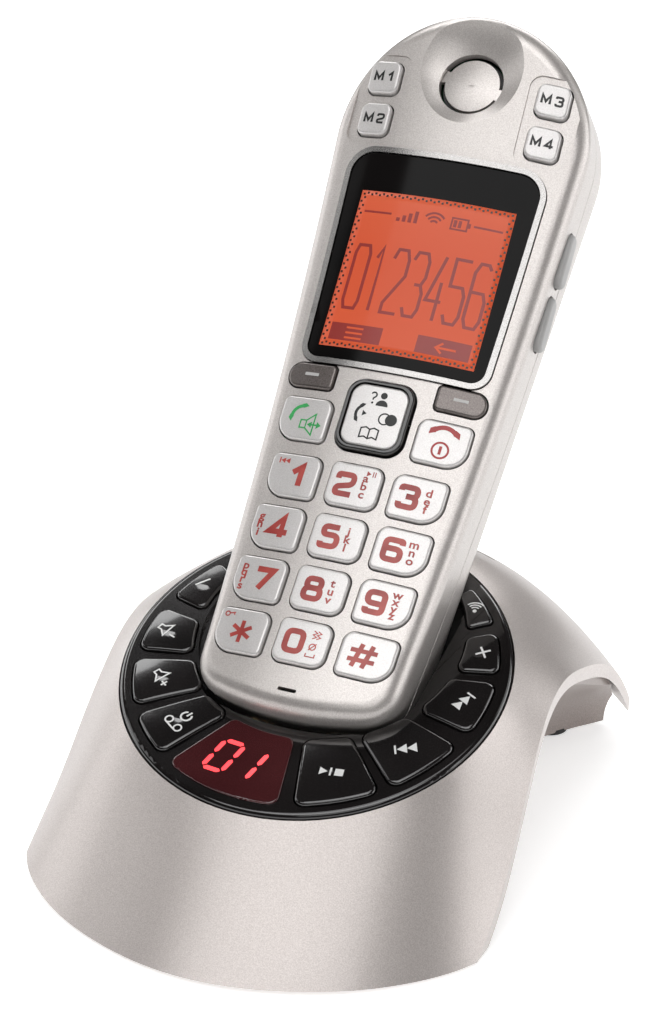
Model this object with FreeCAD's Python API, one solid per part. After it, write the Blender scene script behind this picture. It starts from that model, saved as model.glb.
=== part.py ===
import FreeCAD, Part
import math
import os

# A cordless telephone: a leaning handset docked in a charging and answering base.
# Lengths are in millimetres.  +Z is up, the front is -Y and X = 0 is the plane of symmetry.
# The origin is at the bottom centre of the whole phone's bounding box.
V = FreeCAD.Vector

# ---- Handset: local axes are u across, v up along it and w out of its face ----
HANDSET_LEAN = 40.97                 # degrees back from upright
HANDSET_ORIGIN = (0.0, -23.4, 40.4)  # foot of the handset's face, in the base's axes
HEAD_RADIUS = 32.2                   # round top
HEAD_CENTRE_V = 147.8
CHIN_CORNER_RADIUS = 9.8
CHIN_CORNER_U = 15.3
CHIN_RADIUS = 70.0
CHIN_V = -1.5                        # lowest point of the chin
FACE_CROWN_RADIUS = 121.7            # the face is convex across
FACE_SWEEP_RADIUS = 589.7            # and concave lengthwise
FACE_MIDDLE_V = 82.8
HANDSET_BACK_W = -25.5
FRONT_EDGE_RADIUS = 4.5
BACK_EDGE_RADIUS = 8.0
WALL = 2.2
SEAM_W = -11.0                       # the two housings part along this depth
SEAM_GAP = 0.3

# ---- Handset face controls ----
KEY_PITCH_U = 15.64
KEY_PITCH_V = 13.45
FIRST_ROW_V = 16.12
KEY_WIDTH = 13.0
KEY_HEIGHT = 11.0
KEY_GAP = 0.35
KEY_PROUD = 1.1
KEY_DEPTH = 3.4
KEY_EDGE = 0.7
CALL_KEY_U = 17.4
CALL_KEY_V = 71.2
NAV_V = 74.4
NAV_WIDTH = 17.0
NAV_HEIGHT = 18.2
SOFT_KEY_U = 19.0
SOFT_KEY_V = 82.5
MEMORY_KEY_U = 21.65
MEMORY_KEY_V = (149.6, 160.4)
MEMORY_KEY_SIZE = 8.2
WINDOW_V = (87.6, 141.2)
WINDOW_HALF_WIDTH = (22.5, 24.5)     # at its bottom and top edges
BEZEL_WIDTH = 1.5
DISH_V = 162.4
DISH_RADIUS = 13.6
DISH_DEPTH = 4.0
EARPIECE_RADIUS = 8.1
EARPIECE_COVER_RADIUS = 6.9
SIDE_KEY_V = (109.0, 125.5)
SIDE_KEY_LENGTH = 14.0
SIDE_KEY_DEPTH = 5.0
SIDE_KEY_W = -11.6
SIDE_LEAN = 0.0510                   # how fast the sides draw in below the head
NAV_PIVOT_W = -1.2                   # depth of the four-way key's two pivots
NAV_PIN_RADIUS = 0.5
NAV_BORE_RADIUS = 0.62
SCREW_PLACES = ((-14.0, 36.0), (14.0, 36.0), (-16.0, 150.0), (16.0, 150.0))

# ---- Battery bay in the handset's back ----
DOOR_V = (72.0, 130.0)
DOOR_HALF_WIDTH = 18.0
DOOR_THICKNESS = 1.6
DOOR_TRAVEL = 12.0

# ---- Base: ring axes are a across, b up the slope and h out of the ring ----
RING_TILT = 21.89
RING_CENTRE = (0.0, -6.67, 44.82)
RING_RADIUS = 46.45
RING_THICKNESS = 4.5
RING_KEY_OUTER = 43.2
RING_KEY_INNER = 32.4
RING_KEY_INNER_B = 9.5
RING_KEY_PROUD = 1.0
RING_KEY_DOME = 170.0                # radius of each ring key's slightly domed top
RING_TOP = 0.8                       # the ring's own face, above the shell's edge
FOOT_HEIGHT = 0.8
SHELL_WALL = 1.6
SHELL_DROP = 2.0
# How steeply the shell falls away from the ring, by bearing from the ring's centre (0 = right side, -90 = front).
SHELL_SLOPES = ((-90, 0.92), (-60, 1.10), (-40, 1.40), (-18, 1.88), (-4, 1.50), (8, 0.90), (20, 0.62),
                (38, 0.52), (56, 0.26), (72, 0.13), (90, 0.10))
SHELL_BEND = 0.0108                  # extra fall per square millimetre, on the rear half
SHELL_BOTTOM = -6.0                  # the surface is drawn to this depth and cut at the feet
# The plan of the shell's side: half-width at each distance from the front.
SIDE_PLAN = ((56.3, -44.0), (55.2, -10.0), (54.1, 6.0), (53.6, 24.0), (53.0, 82.0))
BACK_PLAN_Y = 90.0
# Lower housing sections: distance from front, half-width on the table, half-width and height of the side wall's top.
HOUSING_SECTIONS = ((-62.0, 56.0, 56.5, 1.5), (-44.0, 54.0, 55.0, 2.5), (-20.0, 43.0, 54.2, 16.0),
                    (8.0, 33.0, 52.8, 38.5), (40.0, 29.5, 52.2, 31.5), (62.0, 33.0, 51.8, 21.5),
                    (76.0, 41.5, 51.2, 15.0), (90.0, 50.0, 51.0, 9.0))
HOUSING_WALL = 2.0
BASE_SCREWS = ((-26.0, -46.0), (26.0, -46.0), (-24.0, 58.0), (24.0, 58.0))
BASE_FEET = ((-40.0, -46.0), (40.0, -46.0), (-34.0, 74.0), (34.0, 74.0))

RING_KEYS = {  # first and last bearing of each key, in degrees
    "key_play_stop": (-75, -49),
    "key_rewind": (-45, -20),
    "key_forward": (-14, 8),
    "key_delete": (12, 29.5),
    "key_page": (34, 51),
    "key_answer": (-143, -124),
    "key_volume_up": (-167, -147),
    "key_volume_down": (-190, -171),
    "key_greeting": (-216, -196),
}
DISPLAY_BEARINGS = (-120, -80)


# ---- small helpers ----
def box(x0, x1, y0, y1, z0, z1):
    return Part.makeBox(x1 - x0, y1 - y0, z1 - z0, V(x0, y0, z0))


def cylinder(radius, height, at, direction=V(0, 0, 1)):
    return Part.makeCylinder(radius, height, at, direction)


def prism(wire, z0, z1):
    """A wire drawn at height 0, extruded from z0 to z1."""
    face = Part.Face(wire)
    face.translate(V(0, 0, z0))
    return face.extrude(V(0, 0, z1 - z0))


def rounded_rectangle(width, height, radii, centre=(0.0, 0.0), taper=0.0):
    """A closed wire at height 0; radii are lower-left, lower-right, upper-right, upper-left."""
    cx, cy = centre
    half_low, half_high = width / 2.0, width / 2.0 + taper
    half_height = height / 2.0
    corners = [V(cx - half_low, cy - half_height, 0), V(cx + half_low, cy - half_height, 0),
               V(cx + half_high, cy + half_height, 0), V(cx - half_high, cy + half_height, 0)]
    return rounded_polygon(corners, radii)


def rounded_polygon(corners, radii):
    """A closed wire through the corners, each rounded by its own radius."""
    starts, mids, ends = [], [], []
    count = len(corners)
    for i, (corner, radius) in enumerate(zip(corners, radii)):
        back = (corners[i - 1] - corner).normalize()
        ahead = (corners[(i + 1) % count] - corner).normalize()
        half_angle = back.getAngle(ahead) / 2.0
        reach = radius / math.tan(half_angle)
        middle = (back + ahead).normalize()
        centre = corner + middle * (radius / math.sin(half_angle))
        starts.append(corner + back * reach)
        ends.append(corner + ahead * reach)
        mids.append(centre - middle * radius)
    edges = []
    for i in range(count):
        edges.append(Part.Arc(starts[i], mids[i], ends[i]).toShape())
        edges.append(Part.LineSegment(ends[i], starts[(i + 1) % count]).toShape())
    return Part.Wire(edges)


def soften(shape, radius, chosen):
    """Rounds the edges that the test picks; the shape comes back unrounded if the kernel can't."""
    edges = [edge for edge in shape.Edges if chosen(edge)]
    try:
        rounded = shape.makeFillet(radius, edges)
    except Part.OCCError:
        return shape
    return rounded if rounded.isValid() and rounded.Solids else shape


def top_edges(shape):
    """The edges round the highest face."""
    top = max(shape.Faces, key=lambda face: face.CenterOfMass.z)
    return lambda edge: any(edge.isSame(other) for other in top.Edges)


# ---- handset body ----
def handset_outline(inset):
    """The handset's outline, seen square on to its face and moved inwards by inset."""
    head = V(0, HEAD_CENTRE_V, 0)
    head_radius = HEAD_RADIUS - inset
    corner_radius = CHIN_CORNER_RADIUS - inset
    chin_radius = CHIN_RADIUS - inset
    chin_centre_v = CHIN_RADIUS + CHIN_V
    reach = CHIN_RADIUS - CHIN_CORNER_RADIUS
    corner_v = chin_centre_v - math.sqrt(reach ** 2 - CHIN_CORNER_U ** 2)
    corner = V(CHIN_CORNER_U, corner_v, 0)
    # the straight side is tangent to the head and to the chin's corner
    between = head - corner
    lean = math.atan2(between.x, between.y) + math.asin((HEAD_RADIUS - CHIN_CORNER_RADIUS) / between.Length)
    normal = V(math.cos(lean), -math.sin(lean), 0)
    side_top = head + normal * head_radius
    side_bottom = corner + normal * corner_radius
    chin_out = (corner - V(0, chin_centre_v, 0)).normalize()
    chin_side = V(0, chin_centre_v, 0) + chin_out * chin_radius
    corner_mid = corner + (normal + chin_out).normalize() * corner_radius
    mirrored = [V(-p.x, p.y, 0) for p in (side_top, side_bottom, corner_mid, chin_side)]
    edges = [
        Part.Arc(side_top, V(0, HEAD_CENTRE_V + head_radius, 0), mirrored[0]).toShape(),
        Part.LineSegment(mirrored[0], mirrored[1]).toShape(),
        Part.Arc(mirrored[1], mirrored[2], mirrored[3]).toShape(),
        Part.Arc(mirrored[3], V(0, CHIN_V + inset, 0), chin_side).toShape(),
        Part.Arc(chin_side, corner_mid, side_bottom).toShape(),
        Part.LineSegment(side_bottom, side_top).toShape(),
    ]
    return Part.Wire(edges)


def behind_face(offset):
    """Everything behind the handset's saddle-shaped face, moved out by offset."""
    half, deep, swing = 45.0, -60.0, 13.0
    centre = offset - FACE_CROWN_RADIUS
    edge_w = centre + math.sqrt(FACE_CROWN_RADIUS ** 2 - half ** 2)
    left, right = V(-half, FACE_MIDDLE_V, edge_w), V(half, FACE_MIDDLE_V, edge_w)
    low_right, low_left = V(half, FACE_MIDDLE_V, deep), V(-half, FACE_MIDDLE_V, deep)
    profile = Part.Wire([
        Part.Arc(left, V(0, FACE_MIDDLE_V, offset), right).toShape(),
        Part.LineSegment(right, low_right).toShape(),
        Part.LineSegment(low_right, low_left).toShape(),
        Part.LineSegment(low_left, left).toShape(),
    ])
    face = Part.Face(profile)
    axis = V(0, FACE_MIDDLE_V, FACE_SWEEP_RADIUS)
    face.rotate(axis, V(1, 0, 0), -swing)
    return face.revolve(axis, V(1, 0, 0), 2 * swing)


def face_w(v, u=0.0):
    """Height of the handset's face at a point."""
    return (v - FACE_MIDDLE_V) ** 2 / (2 * FACE_SWEEP_RADIUS) - u ** 2 / (2 * FACE_CROWN_RADIUS)


def handset_blank(inset):
    """The whole handset as one rounded block, with every surface moved inwards by inset."""
    block = prism(handset_outline(inset), HANDSET_BACK_W + inset, 20.0)
    block = block.common(behind_face(-inset))
    front = max(block.Faces, key=lambda face: face.CenterOfMass.z)
    block = soften(block, FRONT_EDGE_RADIUS - inset, lambda e: any(e.isSame(o) for o in front.Edges))
    back = min(block.Faces, key=lambda face: face.CenterOfMass.z)
    return soften(block, BACK_EDGE_RADIUS - inset, lambda e: any(e.isSame(o) for o in back.Edges))


# ---- handset keys ----
def key_body(wire, proud=KEY_PROUD, depth=KEY_DEPTH, edge=KEY_EDGE):
    """A key whose top follows the face, drawn as a wire at height 0."""
    body = prism(wire, -15.0, 15.0).common(behind_face(proud)).cut(behind_face(-depth))
    return soften(body, edge, top_edges(body))


def digit_radii(column):
    """Corner radii: the outer columns have one large outer lower corner."""
    small, medium, large = 1.6, 2.6, 5.2
    if column < 0:
        return (large, small, medium, small)
    if column > 0:
        return (small, large, small, medium)
    return (medium, 3.0, medium, small)


def grid_outline(column, v, grow=0.0):
    radii = [r + grow for r in digit_radii(column)]
    return rounded_rectangle(KEY_WIDTH + 2 * grow, KEY_HEIGHT + 2 * grow, radii, (column * KEY_PITCH_U, v))


def call_outline(side, grow=0.0):
    radii = [r + grow for r in digit_radii(side)]
    return rounded_rectangle(KEY_WIDTH + 2 * grow, KEY_HEIGHT + 2 * grow, radii, (side * CALL_KEY_U, CALL_KEY_V))


def nav_outline(grow=0.0):
    radii = [4.2 + grow] * 4
    return rounded_rectangle(NAV_WIDTH + 2 * grow, NAV_HEIGHT + 2 * grow, radii, (0, NAV_V))


def soft_outline(side, grow=0.0):
    radii = [r + grow for r in ((3.0, 1.2, 1.2, 3.0) if side < 0 else (1.2, 3.0, 3.0, 1.2))]
    return rounded_rectangle(12.2 + 2 * grow, 6.4 + 2 * grow, radii, (side * SOFT_KEY_U, SOFT_KEY_V))


def memory_outline(side, v, grow=0.0):
    size = MEMORY_KEY_SIZE + 2 * grow
    return rounded_rectangle(size, size, [2.0 + grow] * 4, (side * MEMORY_KEY_U, v))


def window_outline(grow=0.0):
    low, high = WINDOW_HALF_WIDTH
    bottom, top = WINDOW_V[0] - grow, WINDOW_V[1] + grow
    corners = [V(-low - grow, bottom, 0), V(low + grow, bottom, 0), V(high + grow, top, 0), V(-high - grow, top, 0)]
    return rounded_polygon(corners, [3.4 + grow, 3.4 + grow, 5.5 + grow, 5.5 + grow])


def face_keys():
    """Every key in the handset's face, by name: its outline as a function of how far it is grown."""
    keys = {}
    names = (("key_star", "key_0", "key_hash"), ("key_7", "key_8", "key_9"),
             ("key_4", "key_5", "key_6"), ("key_1", "key_2", "key_3"))
    for row, row_names in enumerate(names):
        v = FIRST_ROW_V + row * KEY_PITCH_V
        for column, name in zip((-1, 0, 1), row_names):
            keys[name] = lambda grow, column=column, v=v: grid_outline(column, v, grow)
    for side, name in ((-1, "key_call"), (1, "key_end")):
        keys[name] = lambda grow, side=side: call_outline(side, grow)
    for side, name in ((-1, "soft_key_left"), (1, "soft_key_right")):
        keys[name] = lambda grow, side=side: soft_outline(side, grow)
    memory = (("memory_key_2", -1, 0), ("memory_key_1", -1, 1), ("memory_key_4", 1, 0), ("memory_key_3", 1, 1))
    for name, side, row in memory:
        v = MEMORY_KEY_V[row]
        keys[name] = lambda grow, side=side, v=v: memory_outline(side, v, grow)
    return keys


def make_face_keys():
    made = {}
    for name, outline in face_keys().items():
        proud = 0.7 if name.startswith("soft") else KEY_PROUD
        made[name] = key_body(outline(0.0), proud=proud)
    rim = key_body(nav_outline(), proud=1.5, edge=0.6)
    middle = rounded_rectangle(NAV_WIDTH - 2.6, NAV_HEIGHT - 2.6, [3.2] * 4, (0, NAV_V))
    hole = rounded_rectangle(NAV_WIDTH - 2.0, NAV_HEIGHT - 2.0, [3.5] * 4, (0, NAV_V))
    made["nav_rim"] = rim.cut(prism(hole, -15, 15)).fuse(nav_pins(NAV_WIDTH / 2 - 0.6, 1.9, "across"))
    made["nav_rim"] = made["nav_rim"].cut(nav_axle(NAV_BORE_RADIUS, NAV_HEIGHT, "along"))
    made["nav_key"] = key_body(middle, proud=1.3, edge=0.5).fuse(nav_pins(NAV_HEIGHT / 2 - 1.9, 1.6, "along"))
    return made


def nav_axle(radius, length, way):
    """A round bar through the four-way key's middle, across the handset or along it."""
    bar = cylinder(radius, length, V(0, 0, -length / 2))
    bar.rotate(V(0, 0, 0), V(0, 1, 0) if way == "across" else V(1, 0, 0), 90)
    bar.translate(V(0, NAV_V, NAV_PIVOT_W))
    return bar


def nav_pins(start, length, way):
    """A pair of pivot pins, which begin at start on each side of the middle."""
    middle = nav_axle(NAV_PIN_RADIUS + 1, 2 * start, way)
    return nav_axle(NAV_PIN_RADIUS, 2 * (start + length), way).cut(middle)


# ---- handset housings ----
def dish_sphere(extra):
    """The ball that scoops the earpiece dish out of the face."""
    radius = (DISH_RADIUS ** 2 + DISH_DEPTH ** 2) / (2 * DISH_DEPTH)
    centre = V(0, DISH_V, face_w(DISH_V) + radius - DISH_DEPTH)
    return Part.makeSphere(radius + extra, centre)


def memory_pocket(side):
    """The shallow recess that frames a pair of memory keys."""
    centre = (side * 21.9, sum(MEMORY_KEY_V) / 2.0)
    outline = rounded_rectangle(13.4, 23.0, [3.2] * 4, centre)
    return prism(outline, -15, 15).cut(behind_face(-0.5))


def make_front_housing(blank, cavity):
    shell = blank.cut(cavity).cut(behind_face(SEAM_W + SEAM_GAP / 2))
    backing = blank.common(dish_sphere(WALL)).common(cylinder(16.5, 30, V(0, DISH_V, -8)))
    shell = shell.fuse(backing).cut(dish_sphere(0.0))
    shell = shell.cut(cylinder(EARPIECE_RADIUS, 40, V(0, DISH_V, -20)))
    for outline in face_keys().values():
        shell = shell.cut(prism(outline(KEY_GAP), -15, 15).cut(behind_face(-9.0)))
    shell = shell.cut(prism(nav_outline(KEY_GAP + 0.1), -15, 15).cut(behind_face(-9.0)))
    shell = shell.cut(nav_axle(NAV_BORE_RADIUS, NAV_WIDTH + 3.2, "across"))
    shell = shell.cut(prism(window_outline(BEZEL_WIDTH + 0.15), -15, 15).cut(behind_face(-9.0)))
    for side in (-1, 1):
        shell = shell.cut(memory_pocket(side))
    microphone_slot = rounded_rectangle(4.6, 0.9, [0.4] * 4, (0, 4.4))
    shell = shell.cut(prism(microphone_slot, 0.0, 15))
    for v in SIDE_KEY_V:
        shell = shell.cut(side_key_block(v, KEY_GAP, 20.0, 40.0))
    return shell


def side_key_block(v, grow, inner, outer):
    """A bar across the handset's right wall, as big as a side key grown by grow."""
    wire = rounded_rectangle(SIDE_KEY_LENGTH + 2 * grow, SIDE_KEY_DEPTH + 2 * grow, [2.2 + grow] * 4)
    bar = prism(wire, inner, outer)
    # local x of the drawing runs along v, its y along w and its height along u
    bar.rotate(V(0, 0, 0), V(1, 0, 0), 90)
    bar.rotate(V(0, 0, 0), V(0, 0, 1), 90)
    bar.translate(V(0, v, SIDE_KEY_W + face_w(v)))
    return bar


def make_side_keys():
    made = {}
    for name, v in zip(("side_key_down", "side_key_up"), SIDE_KEY_V):
        side_u = HEAD_RADIUS - (HEAD_CENTRE_V - v) * SIDE_LEAN
        bar = side_key_block(v, 0.0, side_u - 2.6, side_u + 1.5)
        outer = max(bar.Faces, key=lambda face: face.CenterOfMass.x)
        made[name] = soften(bar, 1.0, lambda e, outer=outer: any(e.isSame(o) for o in outer.Edges))
    return made


def make_rear_housing(blank, cavity):
    shell = blank.cut(cavity).common(behind_face(SEAM_W - SEAM_GAP / 2))
    low, high = DOOR_V
    recess_low = low - DOOR_TRAVEL - 1.0
    recess = rounded_rectangle(2 * DOOR_HALF_WIDTH + 0.6, high - recess_low + 0.3, [4.0] * 4,
                               (0, (high + recess_low + 0.3) / 2.0))
    floor_w = HANDSET_BACK_W + DOOR_THICKNESS + 0.2
    ledge = prism(rounded_rectangle(2 * DOOR_HALF_WIDTH + 4, high - recess_low + 4, [5.0] * 4,
                                    (0, (high + recess_low) / 2.0)), HANDSET_BACK_W, floor_w + 1.6)
    shell = shell.fuse(ledge.common(blank))
    shell = shell.cut(prism(recess, HANDSET_BACK_W - 1, floor_w))
    bay = rounded_rectangle(32.0, 51.0, [2.0] * 4, (0, (low + high) / 2.0 + 0.5))
    shell = shell.cut(prism(bay, HANDSET_BACK_W - 1, floor_w + 3))
    for side in (-1, 1):
        shell = shell.cut(box(side * 9 - 3.2, side * 9 + 3.2, -6, 3, -15.2, -10.8))
    for u, v in SCREW_PLACES:
        shell = shell.cut(cylinder(1.4, 8, V(u, v, HANDSET_BACK_W - 1)))
        shell = shell.cut(cylinder(2.6, 2.3, V(u, v, HANDSET_BACK_W - 1)))
        boss = cylinder(3.2, 8, V(u, v, HANDSET_BACK_W + WALL)).cut(cylinder(1.4, 9, V(u, v, HANDSET_BACK_W + WALL)))
        shell = shell.fuse(boss)
    for v in SIDE_KEY_V:
        shell = shell.cut(side_key_block(v, KEY_GAP, 20.0, 40.0))
    return shell


def make_battery_door():
    low, high = DOOR_V
    wire = rounded_rectangle(2 * DOOR_HALF_WIDTH, high - low, [3.7] * 4, (0, (low + high) / 2.0))
    door = prism(wire, HANDSET_BACK_W, HANDSET_BACK_W + DOOR_THICKNESS)
    for step in range(5):
        groove = box(-6, 6, low + 5 + 2.2 * step, low + 6 + 2.2 * step, HANDSET_BACK_W - 1, HANDSET_BACK_W + 0.5)
        door = door.cut(groove)
    return door


# ---- handset insides ----
def make_handset_insides():
    made = {}
    lens = prism(window_outline(0.0), -15, 15).common(behind_face(0.25)).cut(behind_face(-1.4))
    made["display_lens"] = soften(lens, 0.25, top_edges(lens))
    frame = prism(window_outline(BEZEL_WIDTH), -15, 15).cut(prism(window_outline(0.1), -16, 16))
    frame = frame.common(behind_face(0.7)).cut(behind_face(-2.0))
    made["display_bezel"] = frame
    made["display_module"] = box(-20.5, 20.5, 89.5, 134, -7.8, -4.4)
    cover = prism(earpiece_cover_outline(), -12, 12)
    dome = Part.makeSphere(40.0, V(0, DISH_V, face_w(DISH_V) - DISH_DEPTH + 0.9 - 40.0))
    made["earpiece_cover"] = cover.common(dome).common(box(-12, 12, DISH_V - 12, DISH_V + 12, 0.0, 12))
    made["earpiece_speaker"] = cylinder(7.7, 3.6, V(0, DISH_V, -3.8))
    made["microphone"] = cylinder(2.6, 2.4, V(0, 5.0, -0.2))
    mat = prism(rounded_rectangle(44.0, 76.0, [4.0] * 4, (0, 48.0)), -15, 15)
    made["keypad_mat"] = mat.common(behind_face(-4.4)).cut(behind_face(-5.5))
    board = prism(handset_outline(4.0), -9.6, -8.0)
    for u, v in SCREW_PLACES:
        board = board.cut(cylinder(3.8, 8, V(u, v, -12)))
    made["handset_circuit_board"] = board
    made["battery_pack"] = prism(rounded_rectangle(31.0, 49.5, [4.0] * 4, (0, 101.5)), -23.2, -12.6)
    contacts = [box(side * 9 - 3, side * 9 + 3, -0.9, 2.6, -15.0, -11.0) for side in (-1, 1)]
    made["handset_charge_contacts"] = Part.makeCompound(contacts)
    screws = []
    for u, v in SCREW_PLACES:
        head = cylinder(2.4, 1.0, V(u, v, HANDSET_BACK_W + 0.25))
        slot = box(u - 1.6, u + 1.6, v - 0.3, v + 0.3, HANDSET_BACK_W, HANDSET_BACK_W + 0.7)
        shank = cylinder(1.2, 8.0, V(u, v, HANDSET_BACK_W + 1.2))
        screws.append(head.fuse(shank).cut(slot))
    made["handset_screws"] = Part.makeCompound(screws)
    return made


def earpiece_cover_outline():
    """A round cover with two tabs that bridge the sound slots."""
    radius, rim = EARPIECE_COVER_RADIUS, EARPIECE_RADIUS - 0.1
    tab = math.radians(12)
    gap_bearings = (math.radians(168), math.radians(-12))
    centre = V(0, DISH_V, 0)

    def at(r, angle):
        return centre + V(r * math.cos(angle), r * math.sin(angle), 0)

    edges = []
    first, second = gap_bearings[1], gap_bearings[0]
    for start, end in ((first, second), (second, first + 2 * math.pi)):
        leave, arrive = start + tab, end - tab
        edges.append(Part.Arc(at(radius, leave), at(radius, (leave + arrive) / 2), at(radius, arrive)).toShape())
        edges.append(Part.LineSegment(at(radius, arrive), at(rim, arrive)).toShape())
        edges.append(Part.Arc(at(rim, arrive), at(rim, end), at(rim, end + tab)).toShape())
        edges.append(Part.LineSegment(at(rim, end + tab), at(radius, end + tab)).toShape())
    return Part.Wire(edges)


# ---- base shell ----
def blended(stations, value):
    """A smooth curve through (place, amount) stations, flat at each end."""
    places = [s[0] for s in stations]
    amounts = [s[1] for s in stations]
    if value <= places[0]:
        return amounts[0]
    if value >= places[-1]:
        return amounts[-1]
    i = max(k for k in range(len(places) - 1) if places[k] <= value)

    def tangent(k):
        if k in (0, len(places) - 1):
            return 0.0
        return (amounts[k + 1] - amounts[k - 1]) / (places[k + 1] - places[k - 1])

    span = places[i + 1] - places[i]
    t = (value - places[i]) / span
    return (amounts[i] * (2 * t ** 3 - 3 * t ** 2 + 1) + amounts[i + 1] * (3 * t ** 2 - 2 * t ** 3)
            + span * tangent(i) * (t ** 3 - 2 * t ** 2 + t) + span * tangent(i + 1) * (t ** 3 - t ** 2))


def shell_point(bearing, part, inset, drop):
    """A point on the shell: part 0 is the ring's edge and part 1 is where the surface ends."""
    tilt = math.radians(RING_TILT)
    turn = math.radians(bearing)
    radius = RING_RADIUS - inset
    a, b = radius * math.cos(turn), radius * math.sin(turn)
    edge = V(a, RING_CENTRE[1] + b * math.cos(tilt) + drop * math.sin(tilt),
             RING_CENTRE[2] + b * math.sin(tilt) - drop * math.cos(tilt))
    folded = bearing if bearing <= 90 else 180 - bearing
    slope = blended(SHELL_SLOPES, folded)
    bend = SHELL_BEND * blended(((-20, 0.0), (30, 1.0)), folded)
    fall = edge.z - SHELL_BOTTOM
    if bend > 1e-6:
        reach = (-slope + math.sqrt(slope ** 2 + 4 * bend * fall)) / (2 * bend)
    else:
        reach = fall / slope
    out = reach * part
    return V(edge.x + out * math.cos(turn), edge.y + out * math.sin(turn), edge.z - slope * out - bend * out ** 2)


def shell_plug(inset=0.0, drop=0.0):
    """The solid under the shell's surface, from the ring down to below the feet."""
    wires = []
    for part in (0.0, 0.2, 0.4, 0.6, 0.8, 1.0):
        points = [shell_point(bearing, part, inset, drop) for bearing in range(-90, 270, 10)]
        curve = Part.BSplineCurve()
        curve.interpolate(Points=points, PeriodicFlag=True)
        wires.append(Part.Wire([curve.toShape()]))
    return Part.makeLoft(wires, True, False)


def side_curtain(inset, z0, z1):
    """A prism with the plan of the base: gently waisted sides and a bowed back."""
    right = [V(x - inset, y, 0) for x, y in SIDE_PLAN]
    right[-1].y -= inset
    left = [V(-p.x, p.y, 0) for p in reversed(right)]
    side, other = Part.BSplineCurve(), Part.BSplineCurve()
    side.interpolate(right)
    other.interpolate(left)
    front_right, front_left = V(right[0].x, -95, 0), V(left[-1].x, -95, 0)
    wire = Part.Wire([
        Part.LineSegment(front_left, front_right).toShape(),
        Part.LineSegment(front_right, right[0]).toShape(),
        side.toShape(),
        Part.Arc(right[-1], V(0, BACK_PLAN_Y - inset, 0), left[0]).toShape(),
        other.toShape(),
        Part.LineSegment(left[-1], front_left).toShape(),
    ])
    return prism(wire, z0, z1)


def place_ring(shape):
    """Moves a shape from ring axes to the base's axes."""
    shape.rotate(V(0, 0, 0), V(1, 0, 0), RING_TILT)
    shape.translate(V(*RING_CENTRE))
    return shape


def place_handset(shape):
    """Moves a shape from handset axes to the base's axes."""
    shape.rotate(V(0, 0, 0), V(1, 0, 0), 90.0 - HANDSET_LEAN)
    shape.translate(V(*HANDSET_ORIGIN))
    return shape


def make_top_shell():
    shell = shell_plug().cut(shell_plug(SHELL_WALL, SHELL_DROP))
    shell = shell.cut(place_ring(cylinder(RING_RADIUS + 0.25, 24, V(0, 0, -12))))
    shell = shell.common(side_curtain(0.0, FOOT_HEIGHT, 80))
    pinhole = cylinder(0.55, 12, V(0, -84, 9.0), V(0, 1, 0))
    shell = shell.cut(pinhole)
    ledge_slot = box(17.5, 23.5, 51.0, 52.6, 40, 70)
    return shell.cut(ledge_slot)


def housing_section(y, foot, top_half, top_z, grow):
    """One cross-section of the lower housing, from the table to above the shell."""
    foot, top_half = foot - grow, top_half - grow
    low, high = FOOT_HEIGHT + grow, 78.0
    top_z = max(top_z, low + 1.0)
    mid_x = foot + (top_half - foot) * 0.36
    mid_z = low + (top_z - low) * 0.62
    points = [V(foot, y, low), V(top_half, y, top_z), V(top_half, y, high)]
    mirror = [V(-p.x, y, p.z) for p in points]
    return Part.Wire([
        Part.LineSegment(mirror[0], points[0]).toShape(),
        Part.Arc(points[0], V(mid_x, y, mid_z), points[1]).toShape(),
        Part.LineSegment(points[1], points[2]).toShape(),
        Part.LineSegment(points[2], mirror[2]).toShape(),
        Part.LineSegment(mirror[2], mirror[1]).toShape(),
        Part.Arc(mirror[1], V(-mid_x, y, mid_z), mirror[0]).toShape(),
    ])


def make_bottom_housing():
    outer = Part.makeLoft([housing_section(*s, 0.0) for s in HOUSING_SECTIONS], True, False)
    trimmed = list(HOUSING_SECTIONS)
    trimmed[0] = (trimmed[0][0] + HOUSING_WALL,) + trimmed[0][1:]
    inner = Part.makeLoft([housing_section(*s, HOUSING_WALL) for s in trimmed], True, False)
    outer = outer.common(side_curtain(1.2, 0, 80))
    inner = inner.common(side_curtain(1.2 + HOUSING_WALL, 0, 90))
    body = outer.common(shell_plug(SHELL_WALL + 0.5, SHELL_DROP + 0.5)).cut(inner)
    body = body.cut(place_ring(cylinder(RING_RADIUS - 1, 60, V(0, 0, -7))))
    for jack in jack_places():
        body = body.cut(jack)
    for x, y in BASE_SCREWS:
        boss = cylinder(3.4, 9, V(x, y, FOOT_HEIGHT + 1)).fuse(cylinder(3.4, 1, V(x, y, FOOT_HEIGHT)))
        body = body.fuse(boss).cut(cylinder(1.5, 12, V(x, y, FOOT_HEIGHT)))
        body = body.cut(cylinder(3.0, 1.6, V(x, y, FOOT_HEIGHT)))
    for x, y in BASE_FEET:
        body = body.cut(cylinder(5.2, 0.6, V(x, y, FOOT_HEIGHT)))
    return body


def jack_places():
    return [box(-24.3, -15.7, 80, 92, 5.3, 11.7), cylinder(3.1, 16, V(20, 80, 9.5), V(0, 1, 0))]


def make_jacks():
    line = box(-26, -14, 70, 84.6, 3.6, 13.4).cut(box(-24, -16, 72, 92, 5.6, 11.4))
    power = cylinder(4.4, 14, V(20, 71.0, 9.5), V(0, 1, 0)).cut(cylinder(2.9, 14, V(20, 73.0, 9.5), V(0, 1, 0)))
    power = power.fuse(cylinder(0.8, 11, V(20, 72.0, 9.5), V(0, 1, 0)))
    return {"line_jack": line, "power_jack": power}


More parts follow.
